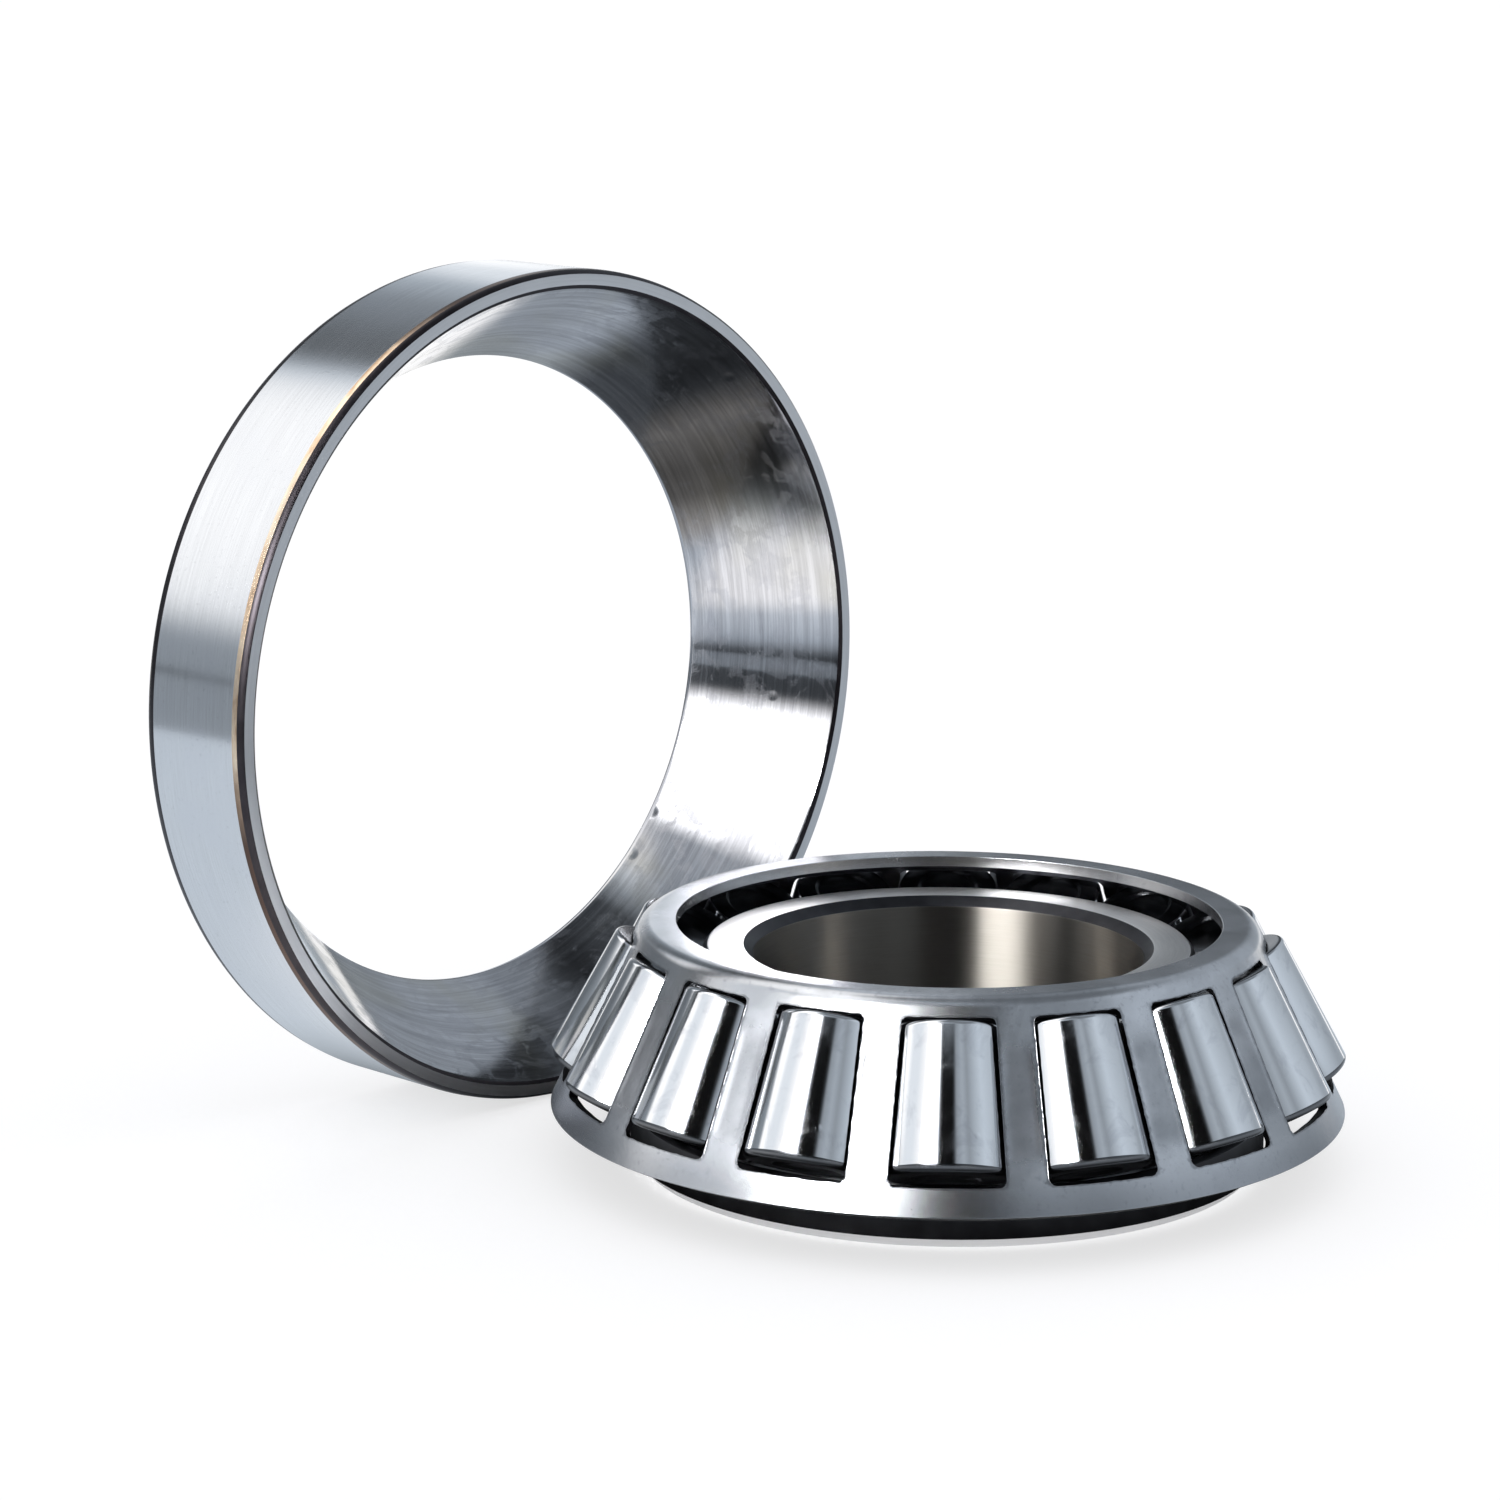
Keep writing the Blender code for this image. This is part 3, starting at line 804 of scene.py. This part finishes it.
def build_rollers():
    materials = {
        "body": roller_steel(),
        # Painted shade: the roller ends are nearly black, as they sit in the shade of rib and cage
        "end": turned_steel("roller_end_painted_shade", (0.13, 0.135, 0.145), 0.24),
    }
    small_radius = SMALL_END * math.tan(ROLLER_HALF_ANGLE)
    small_round = 0.6 * MM
    large_round = 0.8 * MM
    dimple = 0.45 * MM
    dimple_round = 0.4 * MM
    rim_round = 0.2 * MM
    small_dimple = small_radius * 0.62
    large_dimple = ROLLER_RADIUS * 0.55
    outline = rounded([
        (0.0, ROLLER_LENGTH - dimple, 0.0, "end"),
        (small_dimple - dimple, ROLLER_LENGTH - dimple, dimple_round, "end"),
        (small_dimple, ROLLER_LENGTH, rim_round, "end"),
        (small_radius, ROLLER_LENGTH, small_round, "body"),
        (ROLLER_RADIUS, large_round * 1.02, 0.0, "end"),
        (ROLLER_RADIUS, 0.0, large_round, "end"),
        (large_dimple, 0.0, rim_round, "end"),
        (large_dimple - dimple, dimple, dimple_round, "end"),
        (0.0, dimple, 0.0, "end"),
    ])
    mesh = lathe("roller_turned", outline, ROLLER_STEPS, materials, closed=False)
    for body in ROLLERS:
        joint = JOINTS[f"{body}_spin"]
        turn = Vector(joint["axis"]).to_track_quat("Z", "Y").to_matrix().to_4x4()
        place = Matrix.Translation(Vector(joint["pos_m"]))
        put(f"{body}_turned", mesh, place @ turn, body)


# ---------------------------------------------------------------------------------------------
# Cage
# ---------------------------------------------------------------------------------------------

class CageSheet:
    """Outer surface of the cage: distance up the sheet from its foot, and depth into the sheet."""

    def __init__(self):
        self.foot_radius = CAGE_FOOT_RADIUS
        self.foot_height = CAGE_LOW.z + CAGE_SHEET * math.sin(CAGE_HALF_ANGLE)
        self.top_height = CAGE_HIGH.z
        rise = self.top_height - self.foot_height
        corner = rise / math.cos(CAGE_HALF_ANGLE)
        bend = math.pi / 2 - CAGE_HALF_ANGLE
        cut = CAGE_SHOULDER * math.tan(bend / 2)
        self.cone_length = corner - cut
        self.arc_length = CAGE_SHOULDER * bend
        self.flange_radius = self.foot_radius - rise * math.tan(CAGE_HALF_ANGLE) - cut
        self.flange_length = self.flange_radius - CAGE_RIM_RADIUS

    def section(self, distance, depth):
        """(radius, height) of a point."""
        past_arc = distance - self.cone_length - self.arc_length
        if distance <= self.cone_length:
            radius = self.foot_radius - distance * math.sin(CAGE_HALF_ANGLE)
            height = self.foot_height + distance * math.cos(CAGE_HALF_ANGLE)
            normal = CAGE_HALF_ANGLE
        elif past_arc <= 0.0:
            normal = CAGE_HALF_ANGLE + (distance - self.cone_length) / CAGE_SHOULDER
            radius = self.flange_radius + CAGE_SHOULDER * math.cos(normal)
            height = self.top_height - CAGE_SHOULDER + CAGE_SHOULDER * math.sin(normal)
        else:
            normal = math.pi / 2
            radius = self.flange_radius - past_arc
            height = self.top_height
        return radius - depth * math.cos(normal), height - depth * math.sin(normal)

    def point(self, angle, distance, depth):
        radius, height = self.section(distance, depth)
        return radius * math.sin(angle), -radius * math.cos(angle), height


def window_half_width(distance):
    """Half the width of a window at this distance up the sheet, on the outer surface."""
    share = (distance - WINDOW_START) / WINDOW_LENGTH
    return (WINDOW_FOOT_WIDTH + (WINDOW_TOP_WIDTH - WINDOW_FOOT_WIDTH) * share) / 2


def between_points(first, last, share):
    return tuple(a + (b - a) * share for a, b in zip(first, last))


def window_loop(sheet, depth):
    """(angle, distance) points round one window, from the middle of its lower left corner."""
    flare = depth * WINDOW_FLARE
    low = WINDOW_START
    high = WINDOW_END
    low_half = window_half_width(low) + flare
    high_half = window_half_width(high) + flare
    inset = WINDOW_CORNER
    quarter = math.pi / 2
    loop = []

    def corner(centre_across, centre_distance, start):
        for step in range(CORNER_STEPS + 1):
            angle = start + quarter * step / CORNER_STEPS
            across = centre_across + inset * math.cos(angle)
            loop.append((across, centre_distance + inset * math.sin(angle)))

    def straight(last, steps):
        first = loop[-1]
        loop.extend(between_points(first, last, step / steps) for step in range(1, steps))

    corner(inset - low_half, low + inset, 2 * quarter)
    straight((low_half - inset, low), WINDOW_STEPS_ACROSS)
    corner(low_half - inset, low + inset, 3 * quarter)
    straight((high_half, high - inset), WINDOW_STEPS_UP)
    corner(high_half - inset, high - inset, 0.0)
    straight((inset - high_half, high), WINDOW_STEPS_ACROSS)
    corner(inset - high_half, high - inset, quarter)
    straight((-low_half, low + inset), WINDOW_STEPS_UP)
    turned = []
    for across, distance in loop:
        radius = sheet.section(distance, depth)[0]
        turned.append((across / radius, distance))
    half = CORNER_STEPS // 2
    return turned[half:] + turned[:half]


def frame_loop(half_angle, low, high):
    """(angle, distance) points round the area that one window sits in, from its lower left."""
    corners = [(-half_angle, low), (half_angle, low), (half_angle, high), (-half_angle, high)]
    counts = [FRAME_STEPS_ACROSS, FRAME_STEPS_UP] * 2
    loop = []
    for first, last, count in zip(corners, corners[1:] + corners[:1], counts):
        loop.extend(between_points(first, last, step / count) for step in range(count))
    return loop


def ease(value, low, high):
    """Smooth change from 0 to 1 as value goes from low to high."""
    share = min(1.0, max(0.0, (value - low) / (high - low)))
    return share * share * (3 - 2 * share)


def coin(sheet, angle, distance, half_angle):
    """Depth of the shallow coined hollow in the middle of each bar."""
    radius = sheet.section(distance, 0.0)[0]
    from_middle = (half_angle - abs(angle)) * radius
    bar_half = half_angle * radius - window_half_width(distance)
    inside = ease(bar_half - from_middle, *COIN_SIDE)
    lower_end = ease(distance, COIN_START, COIN_START + COIN_SOFT)
    upper_end = ease(COIN_END - distance, 0.0, COIN_SOFT)
    return COIN_DEPTH * inside * lower_end * upper_end


class CagePatches:
    """Points and faces of the cage sheet, gathered patch by patch."""

    def __init__(self, sheet, half_angle):
        self.sheet = sheet
        self.half_angle = half_angle
        self.vertices = []
        self.coined = []
        self.border = []
        self.faces = []
        self.slots = []

    def add_points(self, points, turn, depth, coined=False, from_window=1.0):
        """Row of (angle, distance) points, as vertex numbers."""
        numbers = []
        for angle, distance in points:
            numbers.append(len(self.vertices))
            extra = coin(self.sheet, angle, distance, self.half_angle) if coined else 0.0
            self.coined.append(extra / COIN_DEPTH)
            self.border.append(max(0.0, 1.0 - BORDER_NARROWING * from_window))
            self.vertices.append(self.sheet.point(angle + turn, float(distance), depth + extra))
        return numbers

    def add_rows(self, angles, distances, turn, depth):
        rows = []
        for distance in distances:
            rows.append(self.add_points([(angle, distance) for angle in angles], turn, depth))
        return rows

    def add_faces(self, rows, flip, slot=OUTER_SLOT):
        """Faces between successive rows of vertex numbers."""
        for first, second in zip(rows, rows[1:]):
            for index in range(len(first) - 1):
                face = [first[index], first[index + 1], second[index + 1], second[index]]
                self.faces.append(face[::-1] if flip else face)
                self.slots.append(slot)

    def mesh(self, name, materials):
        mesh = bpy.data.meshes.new(name)
        mesh.from_pydata(self.vertices, [], self.faces)
        for material in materials:
            mesh.materials.append(material)
        mesh.polygons.foreach_set("material_index", self.slots)
        for label, values in (("coined", self.coined), ("border", self.border)):
            mesh.attributes.new(label, "FLOAT", "POINT").data.foreach_set("value", values)
        return mesh


def cage_mesh():
    """Both sides of the sheet round each window, and the cut edges that join them."""
    sheet = CageSheet()
    half_angle = math.pi / len(ROLLERS)
    patches = CagePatches(sheet, half_angle)
    low = WINDOW_START - WINDOW_MARGIN
    high = WINDOW_END + WINDOW_MARGIN
    arc_end = sheet.cone_length + sheet.arc_length
    outer_frame = frame_loop(half_angle, low, high)
    angles = [angle for angle, _ in outer_frame[:FRAME_STEPS_ACROSS]] + [half_angle]
    below = np.linspace(0.0, low, 5)
    on_cone = np.linspace(high, sheet.cone_length, 3)
    on_arc = np.linspace(sheet.cone_length, arc_end, 9)
    on_flange = np.linspace(arc_end, arc_end + sheet.flange_length, 6)
    above = [*on_cone, *on_arc[1:], *on_flange[1:]]

    def add_side(turn, depth, flip, slot):
        """One side of the sheet at one window; returns the rows at its three cut edges."""
        hole = window_loop(sheet, depth)
        rings = []
        for share in FRAME_SHARES:
            ring = [between_points(*pair, share) for pair in zip(hole, outer_frame)]
            numbers = patches.add_points(ring, turn, depth, slot == OUTER_SLOT, share)
            rings.append(numbers + numbers[:1])
        lower = patches.add_rows(angles, below, turn, depth)
        upper = patches.add_rows(angles, above, turn, depth)
        for rows in (rings[::-1], lower, upper):
            patches.add_faces(rows, flip, slot)
        return rings[0], lower[0], upper[-1]

    for index in range(len(ROLLERS)):
        turn = ROLLER_START + 2 * half_angle * index
        hole_out, foot_out, rim_out = add_side(turn, 0.0, False, OUTER_SLOT)
        hole_in, foot_in, rim_in = add_side(turn, CAGE_SHEET, True, INNER_SLOT)
        patches.add_faces([hole_out, hole_in], True, INNER_SLOT)
        patches.add_faces([foot_in, foot_out], False)
        patches.add_faces([rim_out, rim_in], False)
    # Painted shade: the sheet's inner side and the windows' cut edges are nearly black
    inside = dark_steel("cage_inside_painted_shade", (0.10, 0.10, 0.11), 0.4)
    return patches.mesh("cage_pressed", [cage_steel(), inside])


def build_cage():
    crease = math.radians(50.0)
    mesh = cage_mesh()
    place = Matrix.Translation(Vector((AXIS.x, AXIS.y, 0.0)))
    cage = put("cage_sheet", mesh, place, "cage")
    weld = cage.modifiers.new("weld", "WELD")
    weld.merge_threshold = 0.002 * MM
    bevel = cage.modifiers.new("edges", "BEVEL")
    bevel.width = 0.18 * MM
    bevel.segments = 3
    bevel.limit_method = "ANGLE"
    bevel.angle_limit = crease
    bevel.use_clamp_overlap = True
    smooth(mesh, crease)


# ---------------------------------------------------------------------------------------------
# Studio
# ---------------------------------------------------------------------------------------------

def build_world():
    """Mirrored rays see the studio, all other rays an even pale light."""
    camera_colour = (1.0, 1.0, 1.0)
    even_colour = (0.95, 0.96, 1.0)
    world = bpy.data.worlds.new("studio")
    bpy.context.scene.world = world
    world.use_nodes = True
    graph = Graph(world.node_tree)
    x, y, z = graph.split(graph.add("ShaderNodeTexCoord").outputs["Generated"])
    turn = graph.math("ARCTAN2", x, graph.math("MULTIPLY", y, -1.0))
    share = graph.math("MULTIPLY_ADD", turn, 0.5 / math.pi, 0.5)
    azimuth = graph.math("MULTIPLY", turn, 180.0 / math.pi)
    elevation = graph.math("MULTIPLY", graph.math("ARCSINE", z), 180.0 / math.pi)
    low, middle, high = (
        compass(graph, share, shades) for shades in (LOW_SHADES, MIDDLE_SHADES, HIGH_SHADES)
    )
    leftward = graph.between(azimuth, *LEFT_AZIMUTHS)
    raised = graph.math("MULTIPLY_ADD", leftward, -LEFT_RISE, elevation)
    studio = graph.mix(graph.step(raised, *LOW_TO_MIDDLE), low, middle)
    lamp = graph.between(azimuth, *LAMP_AZIMUTHS)
    lamp = graph.math("MULTIPLY", lamp, graph.between(elevation, *LAMP_ELEVATIONS))
    studio = graph.mix(lamp, studio, seen(LAMP_SHADE))
    studio = graph.mix(graph.step(elevation, *MIDDLE_TO_HIGH), studio, high)
    studio = graph.mix(graph.step(elevation, *HIGH_TO_TOP), studio, seen(TOP_SHADE))
    path = graph.add("ShaderNodeLightPath")
    even = graph.mix(path.outputs["Is Camera Ray"], even_colour, camera_colour)
    colour = graph.mix(path.outputs["Is Glossy Ray"], even, studio)
    background = graph.add("ShaderNodeBackground", {"Color": colour, "Strength": 1.0})
    graph.show(background.outputs[0], "ShaderNodeOutputWorld")


def away_from(graph, x, y, centre, inner, outer):
    """0 within the inner distance of a place on the floor, 1 beyond the outer distance."""
    off_x = graph.math("SUBTRACT", x, centre[0])
    off_y = graph.math("SUBTRACT", y, centre[1])
    return graph.step(graph.length(off_x, off_y), inner, outer)


def build_floor():
    """Pale table. Its painted mirror image darkens towards the viewer and ends at its left edge."""
    cone_reach = CAGE_HIGH.x - AXIS.x
    # Painted light in the floor's mirror image: pools of light and the pieces' shadows are painted
    # (middle, inner distance, outer distance, shade): two pale spots, then the pieces' shadows
    painted_spots = [
        ((-0.06, -0.055), 0.02, 0.07, 1.02),
        ((0.085, -0.17), 0.02, 0.06, 1.5),
        ((CUP_BACK.x + 0.02, CUP_BACK.y + 0.011), 0.025, 0.055, 0.3),
        (AXIS, cone_reach, cone_reach * 1.45, 0.06),
    ]
    bpy.ops.mesh.primitive_plane_add(size=FLOOR_SIZE, location=(0.0, 0.0, 0.0))
    floor = bpy.context.object
    floor.name = "floor"
    material, graph = new_material("pale_table")
    x, y, _ = graph.split(graph.add("ShaderNodeNewGeometry").outputs["Position"])
    depth = graph.math("ADD", y, FLOOR_RAMP_START)
    table = graph.ramp(depth, [(place, seen(shade)) for place, shade in FLOOR_SHADES])
    beyond = graph.mix(graph.step(y, 0.2, 0.5), seen(0.54), seen(0.12))
    table = graph.mix(graph.step(x, *FLOOR_LEFT_EDGE), beyond, table)
    for middle, inner, outer, shade in painted_spots:
        table = graph.mix(away_from(graph, x, y, middle, inner, outer), seen(shade), table)
    # Painted reflection: mirrored rays see this painted glow instead of the lit floor
    painted_table_glow = graph.add("ShaderNodeEmission", {"Color": table, "Strength": 1.0})
    matte = graph.add("ShaderNodeBsdfDiffuse", {"Color": (0.93, 0.93, 0.94)})
    glow = graph.add("ShaderNodeEmission", {"Color": (1.0, 1.0, 1.0), "Strength": 1.12})
    pale = graph.add("ShaderNodeMixShader", {0: 0.6, 1: matte.outputs[0], 2: glow.outputs[0]})
    mirrored = graph.add("ShaderNodeLightPath").outputs["Is Glossy Ray"]
    inputs = {0: mirrored, 1: pale.outputs[0], 2: painted_table_glow.outputs[0]}
    graph.show(graph.add("ShaderNodeMixShader", inputs).outputs[0])
    floor.data.materials.append(material)


def build_camera():
    """Camera that looks level with the floor's X axis, but for its elevation and a little roll."""
    back = Vector((0.0, -math.cos(CAMERA_ELEVATION), math.sin(CAMERA_ELEVATION)))
    level = Vector((1.0, 0.0, 0.0))
    upright = back.cross(level)
    right = level * math.cos(CAMERA_ROLL) + upright * math.sin(CAMERA_ROLL)
    up = upright * math.cos(CAMERA_ROLL) - level * math.sin(CAMERA_ROLL)
    target = AXIS + Vector((0.0, 0.0, CAMERA_HEIGHT)) - right * CAMERA_SIDE + up * CAMERA_DROP
    data = bpy.data.cameras.new("camera")
    data.lens = CAMERA_LENS
    data.sensor_width = CAMERA_SENSOR
    camera = bpy.data.objects.new("camera", data)
    bpy.context.scene.collection.objects.link(camera)
    turn = Matrix((right, up, back)).transposed().to_4x4()
    camera.matrix_world = Matrix.Translation(target + back * CAMERA_DISTANCE) @ turn
    bpy.context.scene.camera = camera


def main():
    build_cup()
    build_cone()
    build_rollers()
    build_cage()
    build_world()
    build_floor()
    build_camera()
    bpy.context.scene.view_settings.view_transform = "Standard"


main()
